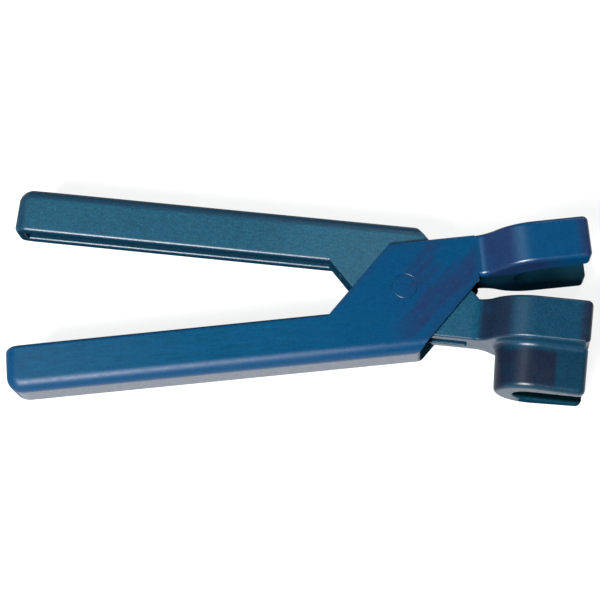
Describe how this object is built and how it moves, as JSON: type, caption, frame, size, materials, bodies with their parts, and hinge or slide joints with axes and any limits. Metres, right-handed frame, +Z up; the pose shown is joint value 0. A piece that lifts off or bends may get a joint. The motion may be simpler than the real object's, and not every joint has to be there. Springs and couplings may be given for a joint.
{
  "type": "hose assembly pliers",
  "caption": "All-plastic pliers with open horseshoe cradles for jaws, used to push the segments of ball-and-socket hose together.",
  "frame": {"origin": "centre of the bounding box in X and Y, at the surface the pliers lie on (back of the large cradles)", "axes": "+X towards the jaws, along the mean line of the two halves; +Z up, along the pivot axis; +Y towards the tongue half's handle"},
  "size_m": [0.235, 0.0881, 0.043],
  "materials": {
    "satin_blue": "satin moulded, bright mid blue",
    "matt_blue": "matt, finely speckled moulded, greener blue",
    "pivot_blue": "satin moulded, as the forked half"
  },
  "bodies": {
    "fork": {"fork_half": "satin_blue", "pivot_post": "pivot_blue", "pivot_plug": "pivot_blue"},
    "tongue": {"tongue_half": "matt_blue"}
  },
  "joints": [
    {"name": "pivot", "type": "hinge", "parent": "fork", "child": "tongue", "pos_m": [0.04371, 0.00063, 0.0215], "axis": [0, 0, 1], "range_deg": [0, 13.5]}
  ]
}
